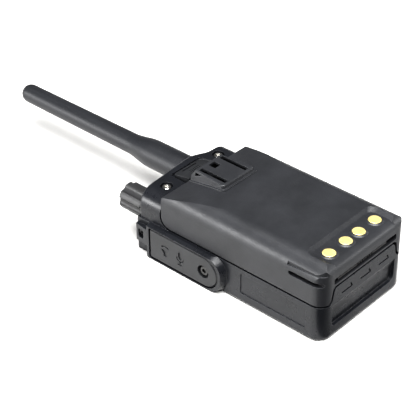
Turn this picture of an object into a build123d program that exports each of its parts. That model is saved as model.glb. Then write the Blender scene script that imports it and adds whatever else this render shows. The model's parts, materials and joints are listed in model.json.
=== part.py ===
from build123d import *
import os

# Handheld two-way radio, lying on its front face. Millimetres.
# +Z is the back of the radio, +Y runs from the base end to the antenna end, X runs across.
# The origin is on the front face, at the middle of the base end.

# Driving dimensions
BODY_W = 58.0            # across both sides
PACK_BACK_Z = 38.0       # front face to the battery's back
BODY_L = 107.6           # base end to the crown beside the antenna
SHOULDER_Y = 104.0       # top end at its two corners
SPLIT_Z = 17.7           # rim of the front case
SEAM = 0.9               # open gap between front case and battery pack
WALL = 1.8               # moulded wall thickness
PACK_L = 91.0            # base end to the pack's upper end
PANEL_Z = 31.0           # back of the case above the pack
TOP_R = 8.0              # rounding of that panel's long edges
PACK_R = 8.0             # rounding of the pack's long edges
PACK_END_R = 5.0         # rounding of the pack's two ends
FRONT_R = 1.6            # rounding around the front face and the top end wall
AXIS_Z = 19.0            # height of the antenna and knob axes
KNOB_X = -21.5
ANTENNA_X = 11.2
ANTENNA_TIP_Y = 226.0

# Worked-out values
HALF_W = BODY_W / 2
PACK_Z = SPLIT_Z + SEAM              # inner face of the pack
INNER_X = HALF_W - WALL
BAY_END_Y = PACK_L + SEAM            # end wall of the battery bay
FAR = 60.0                           # past the object on every side

# Tab at the base end that closes the battery bay
TAB_Z = 25.6
TAB_X = 22.0
TAB_T = 2.0

# Jack boss on the -X side
BOSS_X = -32.3
BOSS_Y = (51.9, 105.6)
BOSS_Z = (0.1, 18.4)
BOSS_SLOPE = 17          # degrees its flanks lean in
COVER_Y = (55.0, 95.6)
COVER_Z = (0.9, 16.4)
COVER_GAP = 0.35
COVER_T = 3.0            # depth of the recess for cover and gasket
GASKET_T = 0.3
JACK_DEPTH = 12.5
SYMBOL_DEPTH = 0.5       # engraved into the cover
COVER_MID_Z = (COVER_Z[0] + COVER_Z[1]) / 2
COVER_SCREW_Y = 63.1
SPEAKER_JACK_Y = 85.9
MICROPHONE_JACK_Y = 76.8
LUG_Y = 97.4             # strap lug's edge towards the jack cover
LUG_Z = (6.1, 14.8)
LUG_HOLE_Y = (99.8, 103.2)
LUG_HOLE_Z = (8.2, 13.0)

# Rear screws through the top panel
REAR_SCREW_X = 17.5
REAR_SCREW_Y = 98.2
REAR_HEAD_Z = 29.2

# Ramp that leads a belt clip onto its dock
RAMP_X = 9.3
RAMP_Y = (BAY_END_Y, 102.0)
RAMP_Z = (33.6, 31.4)    # back of the ramp at its two ends
RAMP_FLOOR_Z = 29.8

# Belt clip dock on the pack
DOCK_FOOT_X = (12.3, 9.7)    # half width at the base end and at the upper end
DOCK_FOOT_Z = 33.0
DOCK_SLOPE = 14              # degrees its flanks lean in
DOCK_Y = (69.0, 90.6)
DOCK_Z = 39.4
DOCK_SLOT_X = 6.8
DOCK_SLOT_Y = (71.8, 87.2)
DOCK_SLOT_W = 2.3

# Charging contacts and release slot at the pack's base end
CONTACT_X = (-15.8, -4.5, 4.5, 15.8)
CONTACT_Y = 7.8
CONTACT_R = 2.95
CONTACT_T = 1.0
CONTACT_TOP_Z = 37.3
CONTACT_FLOOR_Z = 36.7
RELEASE_X = 21.5
RELEASE_Z = (27.4, 30.5)
RELEASE_DEPTH = 5.2
RELEASE_TRAVEL = 3.0

# Buttons on the +X side: centre and half length along Y
SIDE_BUTTON_Z = 9.2
PTT_Y = (75.0, 14.0)
UPPER_KEY_Y = (51.5, 4.6)
LOWER_KEY_Y = (39.5, 4.6)
PTT_HALF_H = 5.0
SIDE_KEY_HALF_H = 4.0

# Front face, which is turned down
LENS_X = 17.0
LENS_Y = (63.0, 79.0)
FRONT_KEY_X = {"key_p0": -17.4, "key_p1": -5.8, "key_down": 5.8, "key_up": 17.4}
FRONT_KEY_Y = 53.0
FRONT_KEY_SIZE = (9.0, 5.2)
SPEAKER_Y = 28.0
SPEAKER_R = 17.0
MICROPHONE_AT = (14.0, 6.5)

# Chassis under the pack
CHASSIS_Z = (15.4, 17.4)
CHASSIS_SCREW_Z = 16.2    # underside of the four screw heads
CASE_POST_AT = [(x, y) for x in (-21.5, 21.5) for y in (8.0, 66.0)]
BOARD_Z = (10.0, 11.2)
BOARD_X = 24.4
TERMINAL_X = (-6.0, 0.0, 6.0)
TERMINAL_Y = 14.0


# Shape helpers

def block(x, y, z):
    """Box between the low and high value given for each axis."""
    size = (x[1] - x[0], y[1] - y[0], z[1] - z[0])
    centre = Pos((x[0] + x[1]) / 2, (y[0] + y[1]) / 2, (z[0] + z[1]) / 2)
    return centre * Box(*size)


def rod_x(y, z, radius, x):
    """Cylinder along X between two X values."""
    return Pos((x[0] + x[1]) / 2, y, z) * Rot(0, 90, 0) * Cylinder(radius, x[1] - x[0])


def rod_y(x, z, radius, y):
    """Cylinder along Y between two Y values."""
    return Pos(x, (y[0] + y[1]) / 2, z) * Rot(90, 0, 0) * Cylinder(radius, y[1] - y[0])


def rod_z(x, y, radius, z):
    """Cylinder along Z between two Z values."""
    return Pos(x, y, (z[0] + z[1]) / 2) * Cylinder(radius, z[1] - z[0])


def rounded_outline(corners):
    """Face in its own plane from (x, y, radius) corners."""
    face = make_face(Polyline(*[(x, y) for x, y, _ in corners], close=True))
    for x, y, radius in corners:
        if radius > 0:
            corner = face.vertices().sort_by_distance((x, y, 0))[0]
            face = fillet(corner, radius)
    return face


def along_x(corners, x):
    """Outline given in (Y, Z), drawn out along X."""
    face = Plane.YZ.offset(x[0]) * rounded_outline(corners)
    return extrude(face, x[1] - x[0])


def along_y(corners, y):
    """Outline given in (X, Z), drawn out along Y."""
    plane = Plane(origin=(0, y[0], 0), x_dir=(1, 0, 0), z_dir=(0, -1, 0))
    return extrude(plane * rounded_outline(corners), -(y[1] - y[0]))


def along_z(corners, z):
    """Outline given in (X, Y), drawn out along Z."""
    return extrude(Pos(0, 0, z[0]) * rounded_outline(corners), z[1] - z[0])


def rounded_block_x(x, y, z, radius):
    """Block whose four edges along X are rounded."""
    corners = [(y[0], z[0], radius), (y[1], z[0], radius), (y[1], z[1], radius), (y[0], z[1], radius)]
    return along_x(corners, x)


def rounded_block_z(x, y, z, radius):
    """Block whose four edges along Z are rounded."""
    corners = [(x[0], y[0], radius), (x[1], y[0], radius), (x[1], y[1], radius), (x[0], y[1], radius)]
    return along_z(corners, z)


def both_sides(shape):
    """The shape and its mirror image across the middle plane."""
    return shape + mirror(shape, Plane.YZ)


def body_outline(inset=0.0):
    """Plan of the radio's body, with a shallow crown beside the antenna."""
    corners = [
        (-HALF_W, 0, 6.0),
        (HALF_W, 0, 6.0),
        (HALF_W, SHOULDER_Y - 0.4, 0),
        (16.5, SHOULDER_Y, 9.0),
        (8.0, BODY_L + 0.3, 9.0),
        (-HALF_W, SHOULDER_Y + 0.7, 0),
    ]
    face = rounded_outline(corners)
    if inset:
        face = offset(face, -inset, kind=Kind.INTERSECTION)
    return face


def body_prism(z, inset=0.0):
    return extrude(Pos(0, 0, z[0]) * body_outline(inset), z[1] - z[0])


def bay_space(grow=0.0):
    """Room above the front case that the pack fills, with its rounded lower corner."""
    end, low = PACK_L + grow, PACK_Z - grow
    corners = [(-FAR, low, 0), (end, low, PACK_END_R + grow), (end, FAR, 0), (-FAR, FAR, 0)]
    return along_x(corners, (-FAR, FAR))


def tab_corners(grow=0.0):
    """End view (X, Z) of the tab: sloping feet, straight flanks and rounded shoulders."""
    half, top = TAB_X + grow, TAB_Z + grow
    right = [(half + 2.4, SPLIT_Z - 0.4, 0), (half + 0.2, SPLIT_Z + 1.8 + grow, 1.2), (half - 1.0, top, 2.6)]
    left = [(-x, z, radius) for x, z, radius in reversed(right)]
    return right + left


# Front case

def top_panel_corners(inset=0.0):
    """Cross-section (X, Z) of the case above the pack."""
    half, top, radius = HALF_W - inset, PANEL_Z - inset, TOP_R - inset
    return [(-half, 0, 0), (half, 0, 0), (half, top, radius), (-half, top, radius)]


def jack_boss():
    """Raised boss with sloping flanks that carries the jack cover and the strap lug."""
    slope_room = 1.6
    outline = [
        (BOSS_Y[0], BOSS_Z[0] - slope_room, 8.5),
        (BOSS_Y[1], BOSS_Z[0] - slope_room, 1.0),
        (BOSS_Y[1], BOSS_Z[1], 1.0),
        (BOSS_Y[0], BOSS_Z[1], 8.5),
    ]
    root_x = -HALF_W + WALL / 2
    face = Plane(origin=(root_x, 0, 0), x_dir=(0, 1, 0), z_dir=(1, 0, 0)) * rounded_outline(outline)
    boss = extrude(face, BOSS_X - root_x, taper=BOSS_SLOPE)
    boss = boss & block((-FAR, FAR), (0, FAR * 2), (BOSS_Z[0], SPLIT_Z - 0.05))
    lug_face = [(BOSS_X, COVER_Y[1] + 0.6, 0), (BOSS_X + 1.1, BOSS_Y[1], 0), (BOSS_X - 3, BOSS_Y[1], 0)]
    boss -= along_z(lug_face, (-1, SPLIT_Z + 2))
    beside_lug = (-FAR, -HALF_W - 0.6), (LUG_Y, FAR * 2)
    boss -= block(*beside_lug, (LUG_Z[1], FAR))
    return boss - block(*beside_lug, (-1, LUG_Z[0]))


def jack_boss_cuts():
    """Cover recess, jack holes, screw insert hole and the strap passage."""
    floor_x = BOSS_X + COVER_T
    cuts = jack_cover_outline(COVER_GAP, (BOSS_X - 5, floor_x))
    for y in (SPEAKER_JACK_Y, MICROPHONE_JACK_Y):
        cuts += rod_x(y, COVER_MID_Z, 3.6, (floor_x - 1, -INNER_X + 1))
    cuts += rod_x(COVER_SCREW_Y, COVER_MID_Z, 2.0, (floor_x - 1, -INNER_X + 1))
    cuts += rounded_block_x((BOSS_X - 2, -HALF_W), LUG_HOLE_Y, LUG_HOLE_Z, 1.2)
    return cuts + block((-HALF_W - 1.6, -HALF_W), (LUG_HOLE_Y[0] + 1, BOSS_Y[1] + 2), LUG_HOLE_Z)


def jack_cover_outline(grow, x):
    """Cover plate's outline: half round at the base end, square towards the strap lug."""
    y = (COVER_Y[0] - grow, COVER_Y[1] + grow)
    z = (COVER_Z[0] - grow, COVER_Z[1] + grow)
    round_r = (z[1] - z[0]) / 2 - 0.05
    corners = [(y[0], z[0], round_r), (y[1], z[0], 1.0), (y[1], z[1], 1.0), (y[0], z[1], round_r)]
    return along_x(corners, x)


def side_button_cuts():
    cuts = None
    for (y, half), height in side_buttons():
        opening = rounded_block_x(
            (INNER_X - 1, HALF_W + 1),
            (y - half - 0.15, y + half + 0.15),
            (SIDE_BUTTON_Z - height - 0.15, SIDE_BUTTON_Z + height + 0.15),
            2.0,
        )
        cuts = opening if cuts is None else cuts + opening
    return cuts


def side_buttons():
    return [(PTT_Y, PTT_HALF_H), (UPPER_KEY_Y, SIDE_KEY_HALF_H), (LOWER_KEY_Y, SIDE_KEY_HALF_H)]


def front_face_cuts():
    """Display window, key openings, speaker slots and the microphone hole."""
    cuts = rounded_block_z((-LENS_X, LENS_X), LENS_Y, (-1, 1.05), 1.5)
    cuts += rounded_block_z((-15, 15), (65, 77), (0, WALL + 1), 1.0)
    width, height = FRONT_KEY_SIZE
    for x in FRONT_KEY_X.values():
        sides = (x - width / 2 - 0.15, x + width / 2 + 0.15)
        ends = (FRONT_KEY_Y - height / 2 - 0.15, FRONT_KEY_Y + height / 2 + 0.15)
        cuts += rounded_block_z(sides, ends, (-1, WALL + 1), 1.6)
    slot_reach = 15.5
    for row in range(-4, 5):
        dy = row * 3.2
        half = (slot_reach ** 2 - dy ** 2) ** 0.5
        cuts += rounded_block_z((-half, half), (SPEAKER_Y + dy - 0.6, SPEAKER_Y + dy + 0.6), (-1, WALL + 1), 0.55)
    return cuts + rod_z(*MICROPHONE_AT, 0.8, (-1, WALL + 1))


def base_end_cuts():
    """Shallow curved panel below the tab and three half-barbed arrows above it."""
    panel = [(-1, SPLIT_Z - 0.6, 0), (0, SPLIT_Z - 0.6, 0), (1.3, 12.5, 14), (1.6, 5.6, 0.4), (-1, 5.6, 0)]
    plan = [(-22.0, 5.6, 2.0), (21.8, 5.6, 3.0), (21.8, SPLIT_Z + 2, 0), (-22.0, SPLIT_Z + 2, 0)]
    cuts = along_x(panel, (-FAR, FAR)) & along_y(plan, (-2, 4))
    line, depth, arrow_z = 0.7, 0.7, 20.3
    for x in (-12.4, 0.4, 13.2):
        cuts += block((x - 3.5, x + 3.5), (-1, depth), (arrow_z - line / 2, arrow_z + line / 2))
        cuts += Pos(x + 3.0, 0, arrow_z + 0.9) * Rot(0, -28, 0) * Box(line, 2 * depth, 2.6)
    return cuts


def case_inside():
    """Hollow of the case, with the room above the chassis behind the top end wall."""
    hollow = body_prism((WALL, SPLIT_Z), WALL + 0.2)
    upper = body_prism((SPLIT_Z, PANEL_Z - WALL), WALL + 0.4) & along_y(top_panel_corners(WALL), (0, FAR * 2))
    upper = upper & block((-FAR, FAR), (BAY_END_Y + WALL, FAR * 2), (0, FAR))
    return hollow + upper


def top_end_solids():
    """Seats inside the top end wall, and the pillars around the rear screws."""
    solids = rod_y(ANTENNA_X, AXIS_Z, 7.0, (101.9, 105.5))
    solids += rod_y(KNOB_X, AXIS_Z, 5.0, (101.8, 104.0))
    pillar = rod_z(REAR_SCREW_X, REAR_SCREW_Y, 3.9, (26.6, PANEL_Z - 1))
    return solids + both_sides(pillar)


def top_end_cuts():
    """Holes for the antenna bush, knob bush, status light, rear screws and the ramp's recess."""
    seat_y = 104.9
    cuts = rod_y(ANTENNA_X, AXIS_Z, 4.05, (100, 110))
    cuts += rod_y(ANTENNA_X, AXIS_Z, 7.15, (seat_y, 112))
    cuts += rod_y(KNOB_X, AXIS_Z, 3.5, (100, 110))
    cuts += rod_y(KNOB_X, AXIS_Z, 7.2, (seat_y, 112))
    cuts += rod_y(-6.0, AXIS_Z, 1.6, (100, 110))
    screw_cut = rod_z(REAR_SCREW_X, REAR_SCREW_Y, 2.9, (REAR_HEAD_Z, FAR))
    screw_cut += rod_z(REAR_SCREW_X, REAR_SCREW_Y, 1.4, (20, FAR))
    cuts += both_sides(screw_cut)
    recess_x = RAMP_X + 0.9
    recess = rounded_block_z((-recess_x, recess_x), (BAY_END_Y - 5, RAMP_Y[1] + 1.0), (RAMP_FLOOR_Z, FAR), 1.8)
    return cuts + recess


def case_outside():
    """Outer shape of the case before the battery bay is cut away."""
    shape = body_prism((0, PANEL_Z))
    lid_edges = shape.edges().group_by(Axis.Z)[-1].filter_by(lambda edge: is_flank_edge(edge))
    shape = fillet(lid_edges, TOP_R)
    rims = shape.edges().filter_by(lambda edge: edge.center().Z < 0.1 or is_end_wall_edge(edge))
    return fillet(rims, FRONT_R)


def is_flank_edge(edge):
    return abs(edge.center().X) > HALF_W - 0.01


def is_end_wall_edge(edge):
    """Edges around the top end wall, but not the upright ones inside its outline."""
    middle = edge.center()
    inside = abs(middle.X) < HALF_W - TOP_R - 0.01 and PANEL_Z - 0.1 > middle.Z > 0.1
    return middle.Y > SHOULDER_Y - 1 and not inside


def front_case():
    case = case_outside() - bay_space(SEAM)
    case += jack_boss()
    case -= case_inside()
    case += top_end_solids()
    case += along_y(tab_corners(), (0, TAB_T))
    for x, y in CASE_POST_AT:
        case += rod_z(x, y, 2.4, (WALL - 0.5, CHASSIS_Z[0]))
        case -= rod_z(x, y, 1.2, (WALL + 1, FAR))
    case -= top_end_cuts()
    case -= jack_boss_cuts()
    case -= side_button_cuts()
    case -= front_face_cuts()
    case -= base_end_cuts()
    label_recess = rounded_block_x((-HALF_W - 1, -HALF_W + 0.35), (8.5, 44.4), (4.8, 15.2), 0.6)
    return case - label_recess


# Battery pack

def pack_back_corners(raised=0.0):
    """Side view (Y, Z) of the pack: a flat back that falls away towards the upper end."""
    fall_y, end_z, past = 68.0, 33.2, 10.0
    fall = (PACK_BACK_Z - end_z) / (PACK_L - fall_y)
    top = PACK_BACK_Z + raised
    return [
        (-past, PACK_Z - 1, 0),
        (PACK_L + past, PACK_Z - 1, 0),
        (PACK_L + past, end_z + raised - fall * past, 0),
        (fall_y, top, 110.0),
        (-past, top, 0),
    ]


def pack_outside():
    """Outer shape of the pack. Its long edges keep their height where the back falls away."""
    plan = [(-HALF_W, 0, 6.0), (HALF_W, 0, 6.0), (HALF_W, PACK_L, 0), (-HALF_W, PACK_L, 0)]
    across = [(-HALF_W, 0, 0), (HALF_W, 0, 0), (HALF_W, PACK_BACK_Z, PACK_R), (-HALF_W, PACK_BACK_Z, PACK_R)]
    base_end = [(0, 0, 0), (FAR * 2, 0, 0), (FAR * 2, PACK_BACK_Z, 0), (0, PACK_BACK_Z, PACK_END_R)]
    shape = along_z(plan, (0, FAR)) & along_y(across, (-1, PACK_L + 1)) & along_x(base_end, (-FAR, FAR))
    return shape & along_x(pack_back_corners(), (-FAR, FAR)) & bay_space()


def contact_recess():
    """Sunken floor for the charging contacts, with sloping sides, rounded over the base end."""
    floor, rise, spread = CONTACT_FLOOR_Z, 2.0, 4.8
    half, end = 20.3, 13.6
    floor_plan = [(-half, -5, 0), (half, -5, 0), (half, end, 3.0), (-half, end, 3.0)]
    wide = half + spread
    rim_plan = [(-wide, -5, 0), (wide, -5, 0), (wide, end + spread / 2, 5.0), (-wide, end + spread / 2, 5.0)]
    sides = loft([Pos(0, 0, floor) * rounded_outline(floor_plan), Pos(0, 0, floor + rise) * rounded_outline(rim_plan)])
    sides += along_z(floor_plan, (20, floor))
    base_end = [(-5, 25, 0), (0, 25, 0), (0, floor, 3.4), (FAR, floor, 0), (FAR, FAR, 0), (-5, FAR, 0)]
    return sides & along_x(base_end, (-FAR, FAR))


def contact_collars():
    """Low cone around each charging contact."""
    height = CONTACT_TOP_Z - 0.12 - CONTACT_FLOOR_Z
    return [Pos(x, CONTACT_Y, CONTACT_FLOOR_Z + height / 2) * Cone(CONTACT_R + 1.2, CONTACT_R + 0.5, height)
            for x in CONTACT_X]


def contact_pockets():
    """Seat and stem hole for each charging contact."""
    cuts = []
    for x in CONTACT_X:
        cuts.append(rod_z(x, CONTACT_Y, CONTACT_R + 0.1, (CONTACT_TOP_Z - CONTACT_T, FAR)))
        cuts.append(rod_z(x, CONTACT_Y, 1.3, (30, CONTACT_TOP_Z)))
    return cuts


def pack_side_steps():
    """Set-back long sides beside the contacts, and the guide grooves below them."""
    set_back = HALF_W - 1.1
    wedge = along_x([(-5, 34.1, 0), (19.5, 32.3, 0), (19.5, FAR, 0), (-5, FAR, 0)], (-FAR, FAR))
    inner = [(-set_back, -0.5, 6.0), (set_back, -0.5, 6.0), (set_back, 22, 0), (-set_back, 22, 0)]
    wedge -= along_z(inner, (0, FAR * 2))
    groove = rounded_block_x((26.3, HALF_W + 2), (1.2, 18.4), (28.3, 30.4), 1.0)
    return wedge + both_sides(groove)


def pack_inside():
    """Room for the cells and the protection board, open towards the radio."""
    cells = along_x([(20, 0, 0), (86, 0, 0), (86, 32.4, 0), (69, 35.6, 0), (20, 35.6, 0)], (-26.8, 26.8))
    cells = cells & along_y([(-26.8, 0, 0), (26.8, 0, 0), (26.8, 35.7, 6.0), (-26.8, 35.7, 6.0)], (10, 90))
    return cells + block((-24.4, 24.4), (6.8, 20.5), (0, 34.2))


def battery_shell():
    shell = pack_outside() - contact_recess()
    shell += contact_collars()
    shell = shell - contact_pockets() - pack_side_steps() - pack_inside()
    shell -= along_y(tab_corners(SEAM), (-2, TAB_T + SEAM))
    shell -= release_slot()
    return shell - block((-9.4, 9.4), (71.4, 88.2), (36.7, FAR))


def release_slot():
    """Slot across the base end that the release bar slides in."""
    low, high = RELEASE_Z
    corners = [(-RELEASE_X, low, 0.8), (RELEASE_X, low, 0.8), (RELEASE_X, high, 0.8), (-RELEASE_X, high, 0.8)]
    return along_y(corners, (-2, RELEASE_DEPTH))


def battery_lid():
    """Flat cover on the pack's inner face, with a seat for each terminal."""
    lid = block((-26.8, 26.8), (20, 86), (PACK_Z, PACK_Z + 1.5))
    lid += block((-24.4, 24.4), (6.8, 20), (PACK_Z, PACK_Z + 1.5))
    for x in TERMINAL_X:
        lid -= rod_z(x, TERMINAL_Y, 2.0, (PACK_Z - 1, PACK_Z + 3))
    return lid


def battery_cells():
    """Two flat cells, one behind the other."""
    first = rounded_cell((20.4, 52.8))
    return Compound([first, rounded_cell((53.3, 85.7))])


def rounded_cell(y):
    return along_y([(-25, 20.9, 4.8), (25, 20.9, 4.8), (25, 31.6, 4.8), (-25, 31.6, 4.8)], y)


def battery_board():
    board = block((-21, 21), (7.2, 16.4), (31.4, 32.6))
    return board + block((-8, 8), (9, 14), (30.2, 31.4))


def charging_contacts():
    """Four plated discs with stems down to the protection board."""
    contacts = []
    for x in CONTACT_X:
        disc = rod_z(x, CONTACT_Y, CONTACT_R, (CONTACT_TOP_Z - CONTACT_T, CONTACT_TOP_Z))
        disc = fillet(disc.edges().group_by(Axis.Z)[-1], 0.25)
        contacts.append(disc + rod_z(x, CONTACT_Y, 1.2, (32.6, CONTACT_TOP_Z - CONTACT_T)))
    return Compound(contacts)


def pack_contacts():
    return Compound([rod_z(x, TERMINAL_Y, 2.0, (PACK_Z + 0.15, PACK_Z + 1.5)) for x in TERMINAL_X])


def clip_dock():
    """Raised dock with two rail slots and a catch hole for a belt clip."""
    dock = dock_form(0.0, DOCK_Z)
    dock = chamfer(dock.edges().group_by(Axis.Z)[-1], 0.35)
    foot = dock_form(0.9, DOCK_Z + 1) & along_x(pack_back_corners(0.5), (-FAR, FAR))
    end_slope = [(88.4, FAR, 0), (88.4, DOCK_Z, 0), (DOCK_Y[1] + 0.1, 36.0, 0), (DOCK_Y[1] + 1, FAR, 0)]
    dock = dock + foot - along_x(end_slope, (-FAR, FAR))
    dock -= block((-9.4, 9.4), (71.4, 88.2), (20, PACK_BACK_Z + 0.2))
    dock -= pack_outside()
    for x in (-DOCK_SLOT_X, DOCK_SLOT_X):
        dock -= block((x - DOCK_SLOT_W / 2, x + DOCK_SLOT_W / 2), DOCK_SLOT_Y, (20, FAR))
    return dock - block((-2.0, 2.0), (82.9, 86.9), (20, FAR))


def dock_form(grow, top):
    """Solid that narrows towards the upper end, with flanks that lean in."""
    base_x, end_x = DOCK_FOOT_X[0] + grow, DOCK_FOOT_X[1] + grow
    y0, y1 = DOCK_Y[0] - grow, DOCK_Y[1] + 4
    plan = [(-base_x, y0, 3.0), (base_x, y0, 3.0), (end_x, y1, 0), (-end_x, y1, 0)]
    form = extrude(Pos(0, 0, DOCK_FOOT_Z) * rounded_outline(plan), top - DOCK_FOOT_Z, taper=DOCK_SLOPE)
    return form & block((-FAR, FAR), (0, DOCK_Y[1]), (0, FAR))


def release_bar():
    """Sliding bar with finger grooves, free to move towards the pack's +X side."""
    bar = block((-18.4, 15.4), (0.7, 4.6), (27.95, 29.5))
    bar = chamfer(bar.edges().filter_by(Axis.X).group_by(Axis.Y)[0], 0.35)
    for step in range(-3, 4):
        bar -= block((step * 1.6 - 0.35, step * 1.6 + 0.35), (0.0, 1.1), (27, 30))
    return bar


def release_spring():
    coil_r, wire_r, length = 0.62, 0.16, 5.6
    path = Helix(0.8, length, coil_r)
    wire = sweep(Plane(origin=path @ 0, z_dir=path % 0) * Circle(wire_r), path)
    return Pos(15.4 + wire_r + 0.02, 2.9, 28.75) * Rot(0, 90, 0) * wire


# Top end

def clip_ramp():
    """Sloping ramp with a raised rim, a catch slot and finger ridges, let into the top panel."""
    y0, y1 = RAMP_Y
    rim_w, rim_h = 0.5, 0.25
    profile = [(y0, RAMP_FLOOR_Z, 0), (y1, RAMP_FLOOR_Z, 0), (y1, RAMP_Z[1], 0.5), (y0, RAMP_Z[0], 0)]
    ramp = along_x(profile, (-FAR, FAR)) & ramp_plan(0.0, FAR)
    above = [(y0, back_of_ramp(y0) - rim_h, 0), (y1, back_of_ramp(y1) - rim_h, 0), (y1, FAR, 0), (y0, FAR, 0)]
    ramp -= along_x(above, (-FAR, FAR)) & ramp_plan(rim_w, FAR)
    ramp -= block((-4.7, 4.7), (y1 - 2.0, y1 - 1.1), (RAMP_FLOOR_Z + 0.6, FAR))
    for step in range(3):
        y = y0 + 3.0 + step * 1.2
        ramp -= block((-3.4, 3.4), (y, y + 0.5), (back_of_ramp(y) - 0.8, FAR))
    return ramp


def ramp_plan(inset, top):
    """Upright block over the ramp's plan, with rounded corners at its upper end."""
    half, end = RAMP_X - inset, RAMP_Y[1] - inset
    return rounded_block_z((-half, half), (RAMP_Y[0] - 4, end), (0, top), 2.4 - inset)


def back_of_ramp(y):
    """Height of the ramp's back at a place along Y."""
    return RAMP_Z[0] + (RAMP_Z[1] - RAMP_Z[0]) * (y - RAMP_Y[0]) / (RAMP_Y[1] - RAMP_Y[0])


def rear_screws():
    places = [Location((x, REAR_SCREW_Y, REAR_HEAD_Z)) for x in (-REAR_SCREW_X, REAR_SCREW_X)]
    return Compound([socket_screw().moved(place) for place in places])


def socket_screw(head_r=2.15, head_h=1.5, shank_r=1.2, length=5.0):
    """Cap screw standing on its shank, head upwards, with a hexagon socket."""
    head = Pos(0, 0, head_h / 2) * Cylinder(head_r, head_h)
    head = chamfer(head.edges().group_by(Axis.Z)[-1], 0.3)
    head += Pos(0, 0, -length / 2) * Cylinder(shank_r, length)
    socket = extrude(Pos(0, 0, head_h - 1.0) * RegularPolygon(1.1, 6), 2.0)
    return head - socket


def volume_knob():
    """Knob with deep rounded notches, hollow underneath to clear the bush nut."""
    y0, y1, radius, notches = 105.7, 119.0, 6.6, 6
    knob = rod_y(0, 0, radius, (y0, y1))
    knob = chamfer(knob.edges().group_by(Axis.Y)[-1], 0.5)
    for index in range(notches):
        knob -= Rot(0, index * 360 / notches, 0) * rod_y(radius + 1.0, 0, 2.3, (y0 - 1, y1 + 1))
    knob -= rod_y(0, 0, 4.9, (y0 - 1, 107.3))
    knob -= rod_y(0, 0, 1.5, (y0 - 1, 117.0))
    knob -= block((-0.35, 0.35), (y1 - 0.4, y1 + 1), (2.2, 6.0))
    return Pos(KNOB_X, 0, AXIS_Z) * knob


def volume_shaft():
    return rod_y(KNOB_X, AXIS_Z, 1.5, (98.5, 117.0))


def volume_control():
    body = block((KNOB_X - 4.5, KNOB_X + 4.5), (95.8, 101.6), (AXIS_Z - 4.5, AXIS_Z + 4.5))
    bush = rod_y(KNOB_X, AXIS_Z, 3.4, (101, 107.0))
    return body + bush - rod_y(KNOB_X, AXIS_Z, 1.55, (98.3, 110))


def volume_nut():
    nut = hexagon_y(KNOB_X, AXIS_Z, 4.5, (104.9, 106.6))
    return nut - rod_y(KNOB_X, AXIS_Z, 3.4, (100, 110))


def hexagon_y(x, z, corner_r, y):
    plane = Plane(origin=(x, y[0], z), x_dir=(1, 0, 0), z_dir=(0, 1, 0))
    return extrude(plane * RegularPolygon(corner_r, 6), y[1] - y[0])


def antenna_sheath():
    """Moulded whip: thick base that flares down to a long thin rod with a domed tip."""
    y0, thick_y, thin_y, tip_y = 105.2, 133.0, 149.0, ANTENNA_TIP_Y
    base_r, thick_r, thin_r, tip_r = 6.75, 7.0, 5.15, 4.8
    with BuildLine() as edge:
        Polyline((0, y0), (base_r - 0.6, y0), (base_r, y0 + 0.8), (thick_r, 118.0), (thick_r, thick_y))
        Spline((thick_r, thick_y), (thin_r, thin_y), tangents=[(0, 1), (-0.004, 1)])
        Line((thin_r, thin_y), (tip_r, tip_y - tip_r))
        RadiusArc((tip_r, tip_y - tip_r), (0, tip_y), -tip_r)
        Line((0, tip_y), (0, y0))
    sheath = revolve(make_face(edge.line), Axis.Y)
    sheath = Pos(ANTENNA_X, 0, AXIS_Z) * sheath
    sheath -= rod_y(ANTENNA_X, AXIS_Z, 5.0, (100, 112))
    return sheath - rod_y(ANTENNA_X, AXIS_Z, 1.3, (111, 219))


def antenna_radiator():
    return rod_y(ANTENNA_X, AXIS_Z, 1.3, (112, 219))


def antenna_ferrule():
    """Threaded brass socket moulded into the whip's base."""
    ferrule = rod_y(ANTENNA_X, AXIS_Z, 5.0, (105.1, 112))
    return ferrule - rod_y(ANTENNA_X, AXIS_Z, 3.05, (100, 110.9))


def antenna_connector():
    """Flanged bush through the top end wall, with the threaded stud for the whip."""
    flange = hexagon_y(ANTENNA_X, AXIS_Z, 5.2, (99.2, 101.8))
    return flange + rod_y(ANTENNA_X, AXIS_Z, 4.0, (101.8, 104.9)) + rod_y(ANTENNA_X, AXIS_Z, 3.0, (104.9, 110.6))


def status_lens():
    lens = rod_y(-6.0, AXIS_Z, 1.55, (101.0, 107.0))
    return fillet(lens.edges().group_by(Axis.Y)[-1], 0.6)


# Jack cover on the -X side

def jack_cover():
    """Cover plate with a bevelled rim, a screw counterbore and two engraved symbols."""
    plate = jack_cover_outline(0.0, (BOSS_X, BOSS_X + COVER_T - GASKET_T))
    plate = chamfer(plate.edges().group_by(Axis.X)[0], 0.7)
    plate -= rod_x(COVER_SCREW_Y, COVER_MID_Z, 3.2, (BOSS_X - 1, BOSS_X + 2.0))
    plate -= rod_x(COVER_SCREW_Y, COVER_MID_Z, 1.4, (BOSS_X - 1, FAR))
    return plate - speaker_symbol() - microphone_symbol()


def speaker_symbol():
    """Loudspeaker: a box, a flared horn and one sound wave."""
    depth = (0, SYMBOL_DEPTH + 1)
    horn = [(-0.95, -3.0, 0), (0.95, -3.0, 0), (0.95, -1.5, 0), (2.4, 0.4, 0), (-2.4, 0.4, 0), (-0.95, -1.5, 0)]
    wave = rod_x(0, -1.1, 3.9, depth) - rod_x(0, -1.1, 3.2, depth)
    wave = wave & block(depth, (-2.1, 2.1), (0, 5))
    return on_cover_face(along_x(horn, depth) + wave, SPEAKER_JACK_Y)


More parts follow.
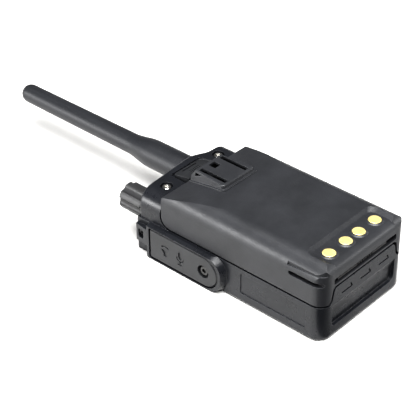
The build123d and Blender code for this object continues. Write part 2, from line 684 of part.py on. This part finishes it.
def microphone_symbol():
    """Microphone: a rounded capsule, its cradle, a stem and a foot."""
    depth = (0, SYMBOL_DEPTH + 1)
    capsule = rounded_block_x(depth, (-1.05, 1.05), (-0.5, 3.6), 1.0)
    cradle = rod_x(0, 0.6, 2.4, depth) - rod_x(0, 0.6, 1.75, depth)
    cradle = cradle & block(depth, (-3, 3), (-3.2, 0.6))
    stem = block(depth, (-0.32, 0.32), (-3.0, -1.5))
    foot = block(depth, (-1.5, 1.5), (-3.5, -2.9))
    return on_cover_face(capsule + cradle + stem + foot, MICROPHONE_JACK_Y)


def on_cover_face(symbol, y):
    """Symbol moved into the cover's face at a place along Y."""
    return Pos(BOSS_X - 1, y, COVER_MID_Z) * symbol


def jack_cover_screw():
    """Captive screw, turned so that its head faces -X."""
    screw = socket_screw(head_r=2.4, head_h=1.3, shank_r=1.2, length=3.9)
    return Pos(BOSS_X + 2.0, COVER_SCREW_Y, COVER_MID_Z) * Rot(0, -90, 0) * screw


def jack_gasket():
    floor_x = BOSS_X + COVER_T
    gasket = jack_cover_outline(-0.6, (floor_x - GASKET_T, floor_x))
    for y in (SPEAKER_JACK_Y, MICROPHONE_JACK_Y):
        gasket -= rod_x(y, COVER_MID_Z, 4.2, (-FAR, 0))
    return gasket - rod_x(COVER_SCREW_Y, COVER_MID_Z, 2.2, (-FAR, 0))


def cover_insert():
    insert = rod_x(COVER_SCREW_Y, COVER_MID_Z, 2.0, (BOSS_X + COVER_T, -INNER_X + 0.2))
    return insert - rod_x(COVER_SCREW_Y, COVER_MID_Z, 1.25, (-FAR, 0))


def jack_socket(y, plug_r):
    mouth_x = BOSS_X + COVER_T + 0.05
    socket = rod_x(y, COVER_MID_Z, 3.5, (mouth_x, mouth_x + 14))
    return socket - rod_x(y, COVER_MID_Z, plug_r + 0.05, (mouth_x - 1, mouth_x + JACK_DEPTH))


def speaker_jack():
    return jack_socket(SPEAKER_JACK_Y, 1.75)


def microphone_jack():
    return jack_socket(MICROPHONE_JACK_Y, 1.25)


# Buttons

def side_button(y, half, half_height, proud_x):
    """Cap that stands out of the case, on a wider flange behind the wall."""
    reach = 0.9
    z = (SIDE_BUTTON_Z - half_height, SIDE_BUTTON_Z + half_height)
    cap = rounded_block_x((26.5, proud_x), (y - half, y + half), z, 1.9)
    cap = fillet(cap.edges().group_by(Axis.X)[-1], 0.7)
    flange = rounded_block_x((25.9, 26.9), (y - half - reach, y + half + reach), (z[0] - reach, z[1] + reach), 2.6)
    return cap + flange


def ptt_button():
    """Talk button with a dished face and grip ridges."""
    y, half = PTT_Y
    button = side_button(y, half, PTT_HALF_H, 30.6)
    for step in range(-3, 4):
        at = y + step * 2.6
        button -= rounded_block_x((30.2, 32), (at - 0.5, at + 0.5), (SIDE_BUTTON_Z - 3.4, SIDE_BUTTON_Z + 3.4), 0.45)
    return button


def side_key_upper():
    y, half = UPPER_KEY_Y
    return side_button(y, half, SIDE_KEY_HALF_H, 29.9)


def side_key_lower():
    y, half = LOWER_KEY_Y
    return side_button(y, half, SIDE_KEY_HALF_H, 29.9)


def side_seal():
    """Rubber sheet between the side buttons and their switches."""
    return rounded_block_x((24.45, 24.85), (33.5, 91.0), (3.4, 15.0), 2.0)


def side_switches():
    return Compound([block((20.6, 24.4), (y - 3, y + 3), (7.6, BOARD_Z[0])) for (y, _), _ in side_buttons()])


def front_key(x):
    """Key cap just below the front face, on a wider flange."""
    width, height = FRONT_KEY_SIZE
    reach = 0.8
    sides, ends = (x - width / 2, x + width / 2), (FRONT_KEY_Y - height / 2, FRONT_KEY_Y + height / 2)
    cap = rounded_block_z(sides, ends, (0.2, 2.4), 1.5)
    cap = fillet(cap.edges().group_by(Axis.Z)[0], 0.5)
    wide, deep = (sides[0] - reach, sides[1] + reach), (ends[0] - reach, ends[1] + reach)
    return cap + rounded_block_z(wide, deep, (WALL + 0.1, WALL + 0.6), 2.0)


def key_mat():
    return rounded_block_z((-23, 23), (48.8, 57.2), (3.0, 4.0), 1.5)


def key_board():
    return block((-23, 23), (48.8, 57.2), (4.0, 4.9))


# Inside the case

def chassis():
    """Cast frame that closes the battery bay and carries the top end's fittings."""
    frame = body_prism(CHASSIS_Z, 3.1) & block((-FAR, FAR), (0, 95.4), (0, FAR))
    frame += block((-22, 22), (93.9, 95.4), (CHASSIS_Z[0], 26.4))
    ear = block((REAR_SCREW_X - 3, REAR_SCREW_X + 3), (94, 100.9), (23.8, 26.4))
    ear -= rod_z(REAR_SCREW_X, REAR_SCREW_Y, 1.25, (20, 30))
    frame += both_sides(ear)
    for y in (26, 42, 58, 74):
        frame += block((-20, 20), (y, y + 1.2), (CHASSIS_Z[0] - 1.2, CHASSIS_Z[0]))
    for x, y in CASE_POST_AT:
        frame -= rod_z(x, y, 2.3, (CHASSIS_SCREW_Z, FAR)) + rod_z(x, y, 1.3, (0, FAR))
    return frame - terminal_block_space()


def terminal_block_space():
    return rounded_block_z((-9.5, 9.5), (TERMINAL_Y - 3.2, TERMINAL_Y + 3.2), (13.2, CHASSIS_Z[1]), 1.2)


def terminal_block():
    insulator = terminal_block_space()
    for x in TERMINAL_X:
        insulator -= rod_z(x, TERMINAL_Y, 1.15, (0, FAR))
    return insulator


def battery_terminals():
    """Three sprung pins from the main board to the pack's terminals."""
    pins = []
    for x in TERMINAL_X:
        barrel = rod_z(x, TERMINAL_Y, 1.1, (BOARD_Z[1], 17.2))
        pins.append(barrel + rod_z(x, TERMINAL_Y, 0.7, (17.0, PACK_Z + 0.1)))
    return Compound(pins)


def chassis_screws():
    screws = [socket_screw(2.2, 1.1, 1.15, 10.0).moved(Location((x, y, CHASSIS_SCREW_Z))) for x, y in CASE_POST_AT]
    return Compound(screws)


def main_seal():
    """Rubber ring around the chassis, crossing under the bay's end wall."""
    z = (16.2, 17.5)
    ring = body_prism(z, 2.05) - body_prism(z, 3.05)
    ring = ring & block((-FAR, FAR), (0, 93.3), (0, FAR))
    return ring + block((-26.4, 26.4), (91.8, 93.3), (17.4, 17.65))


def main_board():
    board = block((-BOARD_X, BOARD_X), (3.6, 99.4), BOARD_Z)
    for x, y in CASE_POST_AT:
        board -= rod_z(x, y, 2.7, (0, FAR))
    return board - block((-FAR, -14.8), (72.7, 90.0), (0, FAR))


def rf_shield():
    shield = block((-12, 18.5), (40, 82), (BOARD_Z[1], 14.0))
    return fillet(shield.edges().filter_by(Axis.Z), 1.0)


def display_lens():
    return rounded_block_z((-LENS_X + 0.1, LENS_X - 0.1), (LENS_Y[0] + 0.1, LENS_Y[1] - 0.1), (0.15, 1.05), 1.4)


def display_module():
    return block((-17.5, 17.5), (62, 80.4), (WALL + 0.1, 4.4))


def speaker():
    """Round speaker: rim, shallow cone facing the front and a magnet behind."""
    body = rod_z(0, SPEAKER_Y, SPEAKER_R, (2.1, 4.0))
    body += Pos(0, SPEAKER_Y, 5.0) * Cone(15.0, 9.5, 2.0)
    body += rod_z(0, SPEAKER_Y, 9.5, (6.0, 9.2))
    return body - Pos(0, SPEAKER_Y, 3.2) * Cone(14.5, 5.0, 2.2)


def speaker_cloth():
    return rod_z(0, SPEAKER_Y, 16.8, (WALL + 0.05, 2.1))


def microphone():
    return rod_z(*MICROPHONE_AT, 2.2, (WALL, 4.2))


PIECES = {
    "front_case": front_case,
    "chassis": chassis,
    "chassis_screws": chassis_screws,
    "rear_screws": rear_screws,
    "main_seal": main_seal,
    "main_board": main_board,
    "rf_shield": rf_shield,
    "key_board": key_board,
    "key_mat": key_mat,
    "display_lens": display_lens,
    "display_module": display_module,
    "speaker": speaker,
    "speaker_cloth": speaker_cloth,
    "microphone": microphone,
    "ptt_button": ptt_button,
    "side_key_upper": side_key_upper,
    "side_key_lower": side_key_lower,
    "side_seal": side_seal,
    "side_switches": side_switches,
    "volume_knob": volume_knob,
    "volume_shaft": volume_shaft,
    "volume_control": volume_control,
    "volume_nut": volume_nut,
    "antenna_sheath": antenna_sheath,
    "antenna_radiator": antenna_radiator,
    "antenna_ferrule": antenna_ferrule,
    "antenna_connector": antenna_connector,
    "status_lens": status_lens,
    "clip_ramp": clip_ramp,
    "jack_cover": jack_cover,
    "jack_cover_screw": jack_cover_screw,
    "jack_gasket": jack_gasket,
    "cover_insert": cover_insert,
    "speaker_jack": speaker_jack,
    "microphone_jack": microphone_jack,
    "terminal_block": terminal_block,
    "battery_terminals": battery_terminals,
    "battery_shell": battery_shell,
    "battery_lid": battery_lid,
    "battery_cells": battery_cells,
    "battery_board": battery_board,
    "charging_contacts": charging_contacts,
    "pack_contacts": pack_contacts,
    "clip_dock": clip_dock,
    "release_bar": release_bar,
    "release_spring": release_spring,
}


def main():
    os.makedirs("parts", exist_ok=True)
    for node, make in PIECES.items():
        export_step(make(), f"parts/{node}.step")
    for node, x in FRONT_KEY_X.items():
        export_step(front_key(x), f"parts/{node}.step")


main()
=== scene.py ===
import json
import math
import bpy
from mathutils import Matrix, Vector


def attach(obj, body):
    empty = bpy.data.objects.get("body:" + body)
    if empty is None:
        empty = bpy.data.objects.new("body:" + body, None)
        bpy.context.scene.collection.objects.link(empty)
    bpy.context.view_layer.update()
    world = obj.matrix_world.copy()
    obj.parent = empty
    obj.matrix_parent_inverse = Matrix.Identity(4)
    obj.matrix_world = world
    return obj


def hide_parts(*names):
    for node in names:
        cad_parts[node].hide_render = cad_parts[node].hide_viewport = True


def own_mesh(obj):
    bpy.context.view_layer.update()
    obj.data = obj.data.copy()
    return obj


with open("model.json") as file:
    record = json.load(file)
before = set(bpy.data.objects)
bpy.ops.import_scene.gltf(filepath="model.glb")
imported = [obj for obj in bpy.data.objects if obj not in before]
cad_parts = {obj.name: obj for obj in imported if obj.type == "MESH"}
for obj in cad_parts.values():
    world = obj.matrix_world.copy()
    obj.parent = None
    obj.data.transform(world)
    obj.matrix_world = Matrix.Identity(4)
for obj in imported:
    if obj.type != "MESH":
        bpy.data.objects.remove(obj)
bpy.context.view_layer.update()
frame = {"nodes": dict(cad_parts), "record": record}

MM = 0.001


def show(thing):
    """Puts an object in the scene."""
    bpy.context.scene.collection.objects.link(thing)


# Building shader graphs

class Graph:
    """Short calls for building the nodes of one material."""

    def __init__(self, name):
        self.material = bpy.data.materials.new(name)
        self.material.use_nodes = True
        self.nodes = self.material.node_tree.nodes
        self.links = self.material.node_tree.links
        self.nodes.clear()
        self.output = self.nodes.new("ShaderNodeOutputMaterial")
        self.place = self.nodes.new("ShaderNodeTexCoord").outputs["Object"]

    def add(self, kind, inputs=None, **settings):
        """Adds a node, sets its properties, and feeds its inputs with values or other nodes' outputs."""
        node = self.nodes.new(kind)
        for key, value in settings.items():
            setattr(node, key, value)
        for key, value in (inputs or {}).items():
            self.feed(node.inputs[key], value)
        return node

    def feed(self, socket, value):
        """Gives an input a value, or links it to another node's output."""
        if isinstance(value, bpy.types.NodeSocket):
            self.links.new(value, socket)
        else:
            socket.default_value = value

    def stretched(self, x, y, z):
        """Object coordinates multiplied along each axis; a factor below 1 draws a pattern out."""
        mapping = self.add("ShaderNodeMapping", {"Vector": self.place, "Scale": (x, y, z)})
        return mapping.outputs["Vector"]

    def noise(self, size_mm, detail=2.0, place=None, roughness=0.5):
        """Noise whose features are about this size."""
        inputs = {
            "Vector": place or self.place,
            "Scale": 1.0 / (size_mm * MM),
            "Detail": detail,
            "Roughness": roughness,
        }
        return self.add("ShaderNodeTexNoise", inputs).outputs["Fac"]

    def cells(self, size_mm):
        """Soft round cells of about this size."""
        inputs = {"Vector": self.place, "Scale": 1.0 / (size_mm * MM)}
        return self.add("ShaderNodeTexVoronoi", inputs, feature="SMOOTH_F1").outputs["Distance"]

    def remap(self, value, low, high, to_low=0.0, to_high=1.0):
        """Moves a value from one range to another and clamps it."""
        inputs = {"Value": value, "From Min": low, "From Max": high, "To Min": to_low, "To Max": to_high}
        return self.add("ShaderNodeMapRange", inputs, clamp=True).outputs["Result"]

    def spread(self, noise, to_low=0.0, to_high=1.0):
        """Stretches the middle of a noise, where most of its values lie, over a range."""
        return self.remap(noise, 0.3, 0.7, to_low, to_high)

    def cloudy(self, roughness, noise):
        """Roughness that varies a little with a noise."""
        shinier, duller = 0.05, 0.06
        return self.spread(noise, roughness - shinier, roughness + duller)

    def combine(self, operation, first, second):
        """Arithmetic on two values, given as numbers or sockets."""
        node = self.add("ShaderNodeMath", operation=operation)
        self.feed(node.inputs[0], first)
        self.feed(node.inputs[1], second)
        return node.outputs["Value"]

    def times(self, first, second):
        return self.combine("MULTIPLY", first, second)

    def mix(self, factor, first, second):
        """Blends two colours, given as RGB values or sockets."""
        node = self.add("ShaderNodeMix", data_type="RGBA")
        self.feed(node.inputs["Factor"], factor)
        self.feed(node.inputs["A"], rgba(first))
        self.feed(node.inputs["B"], rgba(second))
        return node.outputs["Result"]

    def soft_edges(self, radius_mm):
        """Shading normal that rounds hard edges off."""
        return self.add("ShaderNodeBevel", {"Radius": radius_mm * MM}, samples=4).outputs["Normal"]

    def edge_mask(self, radius_mm):
        """About 1 on a convex or concave edge, and 0 on a flat face."""
        cosine_beside_edge, cosine_on_edge = 0.97, 0.80
        rounded = self.soft_edges(radius_mm)
        flat = self.add("ShaderNodeNewGeometry").outputs["Normal"]
        dot = self.add("ShaderNodeVectorMath", operation="DOT_PRODUCT")
        self.feed(dot.inputs[0], rounded)
        self.feed(dot.inputs[1], flat)
        return self.remap(dot.outputs["Value"], cosine_beside_edge, cosine_on_edge)

    def bump(self, height, strength, distance_mm, normal=None):
        """Shading normal of a fine relief, on top of another normal if one is given."""
        inputs = {"Height": height, "Strength": strength, "Distance": distance_mm * MM}
        if normal is not None:
            inputs["Normal"] = normal
        return self.add("ShaderNodeBump", inputs).outputs["Normal"]

    def finish(self, **inputs):
        """Ends the graph with a principled shader; input names use _ for a space."""
        shader = self.add("ShaderNodeBsdfPrincipled")
        for key, value in inputs.items():
            name = key.replace("_", " ")
            self.feed(shader.inputs[name], rgba(value) if name == "Base Color" else value)
        self.links.new(shader.outputs["BSDF"], self.output.inputs["Surface"])
        return self.material


def rgba(value):
    """RGB numbers with full opacity; sockets pass through."""
    return value if isinstance(value, bpy.types.NodeSocket) else (*value, 1.0)


def shade(colour, factor, lift=0.0):
    """A colour made darker or paler."""
    return [part * factor + lift for part in colour]


# Materials

def moulded_plastic(name, colour, roughness, grain_mm, grain_depth_mm, wear):
    """Spark-textured plastic: fine grain with pale specks, cloudy gloss, and pale rubbed edges."""
    g = Graph(name)
    edge_mm, rubbed_mm = 0.25, 0.40
    clouds = g.noise(size_mm=14.0, detail=4.0)
    smudges = g.noise(size_mm=5.0, detail=5.0, roughness=0.65)
    grain = g.noise(size_mm=grain_mm, detail=3.0, roughness=0.6)
    pits = g.cells(size_mm=1.6 * grain_mm)
    specks = g.times(g.remap(grain, low=0.45, high=0.75), 0.10)
    rubbed = g.times(g.edge_mask(rubbed_mm), g.remap(smudges, low=0.35, high=0.75, to_low=0.3))
    tone = g.mix(g.spread(clouds), shade(colour, 0.86), shade(colour, 1.14))
    tone = g.mix(specks, tone, shade(colour, 2.2, lift=0.01))
    tone = g.mix(g.times(rubbed, wear), tone, shade(colour, 2.6, lift=0.03))
    relief = g.combine("ADD", grain, g.times(pits, 0.6))
    normal = g.bump(relief, strength=1.0, distance_mm=grain_depth_mm, normal=g.soft_edges(edge_mm))
    return g.finish(Base_Color=tone, Roughness=g.cloudy(roughness, smudges), Normal=normal)


def soft_rubber(name, colour, roughness, streaked=False):
    """Matte rubber with a bloom and pale dust; if streaked, its bloom and fine relief run along Y."""
    g = Graph(name)
    dust = (0.30, 0.29, 0.27)
    place = g.stretched(1.0, 0.08, 1.0) if streaked else g.place
    bloom = g.noise(size_mm=6.0, detail=5.0, place=place, roughness=0.6)
    fine = g.noise(size_mm=0.35, place=place)
    specks = g.remap(g.noise(size_mm=0.5, detail=1.0), low=0.68, high=0.74)
    tone = g.mix(g.spread(bloom), shade(colour, 0.88), shade(colour, 1.15))
    tone = g.mix(g.times(specks, 0.12), tone, dust)
    normal = g.bump(fine, strength=0.5, distance_mm=0.03, normal=g.soft_edges(0.2))
    return g.finish(
        Base_Color=tone,
        Roughness=g.cloudy(roughness, bloom),
        Normal=normal,
        Sheen_Weight=0.08,
        Sheen_Roughness=0.4,
    )


def bare_metal(name, colour, roughness, mark_mm=0.5, tarnish=0.15):
    """Metal with fine tool marks, uneven polish and a little tarnish."""
    g = Graph(name)
    marks = g.noise(size_mm=mark_mm, detail=4.0, place=g.stretched(1.0, 1.0, 0.15), roughness=0.6)
    patches = g.remap(g.noise(size_mm=2.5, detail=4.0), low=0.4, high=0.75)
    tone = g.mix(g.times(patches, tarnish), colour, shade(colour, 0.45))
    gloss = g.spread(marks, 0.75 * roughness, 1.25 * roughness)
    normal = g.bump(marks, strength=0.35, distance_mm=0.02, normal=g.soft_edges(0.12))
    return g.finish(Base_Color=tone, Roughness=gloss, Metallic=1.0, Normal=normal)


def cast_metal(name, colour):
    """Sand-blasted die casting."""
    g = Graph(name)
    flow = g.noise(size_mm=9.0, detail=4.0)
    tone = g.mix(g.spread(flow), shade(colour, 0.8), shade(colour, 1.1))
    gloss = g.spread(flow, 0.4, 0.55)
    relief = g.combine("ADD", g.cells(size_mm=0.6), g.noise(size_mm=0.3))
    normal = g.bump(relief, strength=0.6, distance_mm=0.05, normal=g.soft_edges(0.3))
    return g.finish(Base_Color=tone, Roughness=gloss, Metallic=0.85, Normal=normal)


def circuit_board(name):
    """Green solder mask, paler over the tracks, with a faint weave."""
    g = Graph(name)
    dark_mask, pale_mask, over_tracks = (0.008, 0.07, 0.03), (0.02, 0.13, 0.06), (0.03, 0.22, 0.10)
    bricks = g.add("ShaderNodeTexBrick", {"Vector": g.place, "Scale": 160.0, "Mortar Size": 0.03})
    tracks = bricks.outputs["Fac"]
    weave = g.noise(size_mm=0.25, detail=1.0)
    tone = g.mix(g.noise(size_mm=4.0, detail=3.0), dark_mask, pale_mask)
    tone = g.mix(tracks, tone, over_tracks)
    relief = g.combine("ADD", tracks, g.times(weave, 0.2))
    normal = g.bump(relief, strength=0.5, distance_mm=0.03)
    return g.finish(Base_Color=tone, Roughness=g.spread(weave, 0.25, 0.4), Normal=normal)


def woven_cloth(name):
    """Black acoustic cloth."""
    g = Graph(name)
    gap, thread = (0.004, 0.004, 0.004), (0.03, 0.03, 0.032)
    threads = [
        g.add("ShaderNodeTexWave", {"Vector": g.place, "Scale": 900.0}, bands_direction=axis).outputs["Fac"]
        for axis in ("X", "Y")
    ]
    weave = g.combine("MAXIMUM", *threads)
    normal = g.bump(weave, strength=0.7, distance_mm=0.05)
    return g.finish(Base_Color=g.mix(weave, gap, thread), Roughness=0.9, Normal=normal, Sheen_Weight=0.3)


def clear_window(name, tint, roughness):
    """Hard clear plastic with faint wiping marks."""
    g = Graph(name)
    wipe = g.noise(size_mm=1.2, detail=5.0, place=g.stretched(0.3, 1.0, 1.0))
    gloss = g.spread(wipe, roughness, roughness + 0.08)
    normal = g.bump(wipe, strength=0.1, distance_mm=0.01, normal=g.soft_edges(0.2))
    return g.finish(Base_Color=tint, Roughness=gloss, Transmission_Weight=0.9, IOR=1.49, Normal=normal)


def display_panel(name):
    """Reflective display: pale green glass over a fine dot grid."""
    g = Graph(name)
    dark_glass, pale_glass, dot = (0.12, 0.15, 0.11), (0.18, 0.21, 0.15), (0.06, 0.07, 0.06)
    grid = g.add("ShaderNodeTexBrick", {"Vector": g.place, "Scale": 1400.0, "Mortar Size": 0.06}, offset=0.0)
    glow = g.noise(size_mm=12.0)
    tone = g.mix(glow, dark_glass, pale_glass)
    tone = g.mix(g.times(grid.outputs["Fac"], 0.4), tone, dot)
    return g.finish(Base_Color=tone, Roughness=g.spread(glow, 0.12, 0.2), Coat_Weight=0.5)


def shrink_wrap(name, colour):
    """Glossy sleeve with lengthwise wrinkles."""
    g = Graph(name)
    wrinkles = g.noise(size_mm=3.0, detail=3.0, place=g.stretched(1.0, 0.15, 1.0))
    tone = g.mix(wrinkles, shade(colour, 0.8), shade(colour, 1.2))
    normal = g.bump(wrinkles, strength=0.5, distance_mm=0.2, normal=g.soft_edges(0.4))
    return g.finish(Base_Color=tone, Roughness=g.spread(wrinkles, 0.22, 0.4), Normal=normal)


def contact_gold(name):
    """Pale gold plate, brushed, with small wear spots."""
    g = Graph(name)
    deep_gold, pale_gold, worn = (0.88, 0.72, 0.30), (0.98, 0.86, 0.46), (0.50, 0.38, 0.18)
    brushed = g.noise(size_mm=0.5, detail=3.0, place=g.stretched(1.0, 0.2, 1.0))
    spots = g.remap(g.noise(size_mm=0.9, detail=4.0), low=0.60, high=0.72)
    tone = g.mix(brushed, deep_gold, pale_gold)
    tone = g.mix(g.times(spots, 0.35), tone, worn)
    gloss = g.spread(brushed, 0.45, 0.6)
    normal = g.bump(brushed, strength=0.3, distance_mm=0.02, normal=g.soft_edges(0.25))
    return g.finish(Base_Color=tone, Roughness=gloss, Metallic=0.8, Normal=normal)


# Moulded or painted with a fine grain: colour, roughness, grain size and depth in mm, wear of the edges
GRAINED = {
    "case_plastic": ((0.015, 0.016, 0.019), 0.29, 0.40, 0.009, 0.5),
    "trim_plastic": ((0.024, 0.025, 0.027), 0.34, 0.40, 0.014, 0.6),
    "pack_plastic": ((0.029, 0.030, 0.033), 0.40, 0.50, 0.030, 0.5),
    "knob_plastic": ((0.032, 0.032, 0.033), 0.42, 0.35, 0.015, 0.3),
    "key_plastic": ((0.085, 0.086, 0.090), 0.42, 0.30, 0.012, 0.4),
    "insulator": ((0.06, 0.06, 0.06), 0.55, 0.40, 0.02, 0.2),
    "jack_plastic": ((0.010, 0.010, 0.011), 0.25, 0.60, 0.006, 0.2),
    "release_plastic": ((0.012, 0.012, 0.012), 0.30, 0.50, 0.008, 0.8),
    "speaker_metal": ((0.10, 0.10, 0.10), 0.50, 0.60, 0.03, 0.4),
}

# Steel and plate: colour and roughness
METALS = {
    "screw_steel": ((0.80, 0.79, 0.76), 0.24),
    "black_steel": ((0.10, 0.10, 0.10), 0.32),
    "spring_steel": ((0.55, 0.55, 0.54), 0.30),
    "plated_metal": ((0.74, 0.72, 0.68), 0.18),
}

# One material for each material slot of the record
MATERIALS = {
    **{slot: moulded_plastic(slot, *look) for slot, look in GRAINED.items()},
    **{slot: bare_metal(slot, *look) for slot, look in METALS.items()},
    "brass": bare_metal("brass", (0.72, 0.52, 0.24), 0.28, tarnish=0.3),
    "shield_tin": bare_metal("shield_tin", (0.62, 0.63, 0.64), 0.35, mark_mm=1.5),
    "cast_alloy": cast_metal("cast_alloy", (0.50, 0.50, 0.49)),
    "contact_gold": contact_gold("contact_gold"),
    "antenna_rubber": soft_rubber("antenna_rubber", (0.018, 0.019, 0.022), 0.44, streaked=True),
    "button_rubber": soft_rubber("button_rubber", (0.035, 0.035, 0.037), 0.60),
    "seal_rubber": soft_rubber("seal_rubber", (0.018, 0.018, 0.018), 0.70),
    "circuit_board": circuit_board("circuit_board"),
    "grille_cloth": woven_cloth("grille_cloth"),
    "clear_window": clear_window("clear_window", (0.80, 0.84, 0.84), 0.04),
    "status_window": clear_window("status_window", (0.45, 0.47, 0.47), 0.20),
    "display_panel": display_panel("display_panel"),
    "cell_wrap": shrink_wrap("cell_wrap", (0.05, 0.12, 0.26)),
}


# Radio

def paint_cad_nodes():
    """Gives every CAD node the material of its slot in the record."""
    for entry in frame["record"]["subparts"]:
        mesh = frame["nodes"][entry["node"]].data
        mesh.materials.clear()
        mesh.materials.append(MATERIALS[entry["material_slot"]])


def release_coil():
    """Stands for the CAD spring, as a copy of its mesh that goes with the battery pack."""
    spring = frame["nodes"]["release_spring"]
    coil = bpy.data.objects.new("release_coil", spring.data.copy())
    coil.matrix_world = spring.matrix_world.copy()
    show(coil)
    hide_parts("release_spring")
    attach(coil, "battery_pack")
    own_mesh(coil)


# Studio

def studio_sheet(name, x, y, z):
    """Level rectangle that isn't part of the radio; x and y are its ranges."""
    mesh = bpy.data.meshes.new(name)
    corners = [(x[0], y[0], z), (x[1], y[0], z), (x[1], y[1], z), (x[0], y[1], z)]
    mesh.from_pydata(corners, [], [(0, 1, 2, 3)])
    sheet = bpy.data.objects.new(name, mesh)
    show(sheet)
    return sheet


def finish_paper(g, tone, fibre):
    """Ends a graph as matte paper with a faint fibre."""
    return g.finish(Base_Color=tone, Roughness=0.9, Normal=g.bump(fibre, strength=0.05, distance_mm=0.05))


def paper_floor():
    """Large sheet of pale paper just under the radio."""
    reach = (-6.0, 6.0)
    darker, paler = (0.66, 0.655, 0.64), (0.69, 0.685, 0.675)
    floor = studio_sheet("floor", x=reach, y=reach, z=-0.0002)
    g = Graph("paper")
    fibre = g.noise(size_mm=1.5, detail=3.0)
    floor.data.materials.append(finish_paper(g, g.mix(fibre, darker, paler), fibre))
    fade_to_backdrop(g)


def fade_to_backdrop(g):
    """Lets the far floor look as pale as the backdrop, so that no horizon shows."""
    fade_start, fade_end = 0.25, 0.8
    paper = g.output.inputs["Surface"].links[0].from_socket
    distance = g.add("ShaderNodeVectorMath", operation="LENGTH")
    g.feed(distance.inputs[0], g.place)
    far = g.remap(distance.outputs["Value"], fade_start, fade_end)
    seen = g.add("ShaderNodeLightPath").outputs["Is Camera Ray"]
    pale = g.add("ShaderNodeEmission", {"Strength": 1.0}).outputs["Emission"]
    blend = g.add("ShaderNodeMixShader", {"Fac": g.times(far, seen)})
    g.feed(blend.inputs[1], paper)
    g.feed(blend.inputs[2], pale)
    g.feed(g.output.inputs["Surface"], blend.outputs["Shader"])


def dark_card():
    """Card before the base end, black towards -X and grey towards +X.

    It is hidden from the camera and casts no shadow, so it only darkens the light that comes back
    from the floor.
    """
    black, grey = (0.015, 0.015, 0.015), (0.42, 0.42, 0.42)
    black_to_x, grey_from_x = -0.035, 0.005
    card = studio_sheet("dark_card", x=(-0.25, 0.25), y=(-0.25, -0.001), z=0.0003)
    card.visible_camera = False
    card.visible_shadow = False
    g = Graph("card_paper")
    across = g.add("ShaderNodeSeparateXYZ", {"Vector": g.place}).outputs["X"]
    tone = g.mix(g.remap(across, black_to_x, grey_from_x), black, grey)
    card.data.materials.append(finish_paper(g, tone, g.noise(size_mm=1.5, detail=3.0)))


def soft_panel(name, centre, aim, size, watts):
    """Soft rectangular light that faces a point."""
    light = bpy.data.lights.new(name, "AREA")
    light.shape = "RECTANGLE"
    light.size, light.size_y = size
    light.energy = watts
    panel = bpy.data.objects.new(name, light)
    panel.location = centre
    panel.rotation_mode = "QUATERNION"
    panel.rotation_quaternion = (Vector(aim) - Vector(centre)).to_track_quat("-Z", "Y")
    show(panel)


def studio_light():
    """One wide soft box overhead, a low strip on each side, and a dim room around."""
    middle = (0.0, 0.06, 0.02)
    soft_panel("overhead", centre=(-0.35, -0.25, 1.35), aim=middle, size=(1.3, 1.3), watts=50.0)
    soft_panel("low_left", centre=(-1.3, 0.9, 0.35), aim=middle, size=(1.2, 0.5), watts=18.0)
    soft_panel("low_right", centre=(1.2, -0.6, 0.25), aim=middle, size=(1.0, 0.4), watts=8.0)
    bpy.context.scene.world = pale_backdrop_world(room_light=0.10, seen=1.0)


def pale_backdrop_world(room_light, seen):
    """World that lights the radio dimly but looks pale to the camera."""
    world = bpy.data.worlds.new("studio")
    world.use_nodes = True
    nodes, links = world.node_tree.nodes, world.node_tree.links
    background = nodes["Background"]
    background.inputs["Color"].default_value = rgba((1.0, 1.0, 1.0))
    path = nodes.new("ShaderNodeLightPath")
    strength = nodes.new("ShaderNodeMapRange")
    strength.inputs["To Min"].default_value = room_light
    strength.inputs["To Max"].default_value = seen
    links.new(path.outputs["Is Camera Ray"], strength.inputs["Value"])
    links.new(strength.outputs["Result"], background.inputs["Strength"])
    return world


def photo_camera():
    """Camera above and to the left of the base end."""
    azimuth, elevation, roll = (math.radians(degrees) for degrees in (-47.98, 34.9, -0.31))
    right = Vector((math.cos(azimuth), math.sin(azimuth), 0.0))
    back = Vector((
        math.sin(azimuth) * math.cos(elevation),
        -math.cos(azimuth) * math.cos(elevation),
        math.sin(elevation),
    ))
    up = back.cross(right)
    rolled_right = math.cos(roll) * right + math.sin(roll) * up
    rolled_up = math.cos(roll) * up - math.sin(roll) * right
    data = bpy.data.cameras.new("photo_camera")
    data.sensor_width = 36.0
    data.lens = 118.92
    data.clip_start, data.clip_end = 0.01, 50.0
    camera = bpy.data.objects.new("photo_camera", data)
    camera.location = Vector((-388.63, -262.33, 378.25)) * MM
    camera.rotation_mode = "QUATERNION"
    camera.rotation_quaternion = Matrix((rolled_right, rolled_up, back)).transposed().to_quaternion()
    show(camera)
    bpy.context.scene.camera = camera


def view_colours():
    """Plain conversion to screen colours, with raised contrast."""
    settings = bpy.context.scene.view_settings
    settings.view_transform = "Standard"
    settings.look = "High Contrast"


paint_cad_nodes()
release_coil()
paper_floor()
dark_card()
studio_light()
photo_camera()
view_colours()
